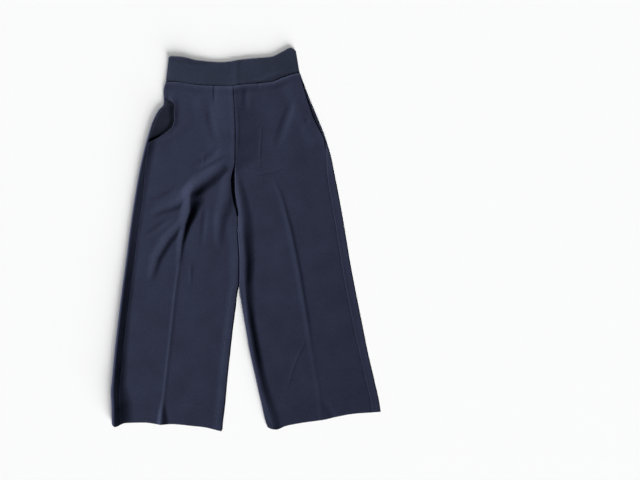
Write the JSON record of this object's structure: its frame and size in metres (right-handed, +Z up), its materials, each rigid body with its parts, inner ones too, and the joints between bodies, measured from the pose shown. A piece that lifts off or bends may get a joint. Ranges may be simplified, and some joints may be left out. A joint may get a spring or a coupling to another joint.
{
  "type": "wide-leg trousers, laid flat",
  "caption": "Wide-leg trousers in dark navy crepe, laid flat with the front up: plain high waistband, side pockets, pressed creases and soft folds.",
  "frame": {"origin": "middle of the bottom of the object's box, on the surface it lies on", "axes": "+Y towards the waist, +Z up out of the garment's front, +X towards the wearer's left leg"},
  "size_m": [0.7398, 1.0522, 0.0168],
  "materials": {
    "navy_crepe": "matt crepe with a faint sheen",
    "navy_band": "the same crepe, interfaced, matt with a faint sheen",
    "pocket_facing": "the same crepe in the pocket mouths, matt"
  },
  "bodies": {
    "root": {"right_back": "navy_crepe", "left_back": "navy_crepe", "right_front": "navy_crepe", "left_front": "navy_crepe", "right_pocket_facing": "pocket_facing", "left_pocket_facing": "pocket_facing", "waistband_back": "navy_band", "waistband_front": "navy_band"}
  },
  "joints": []
}
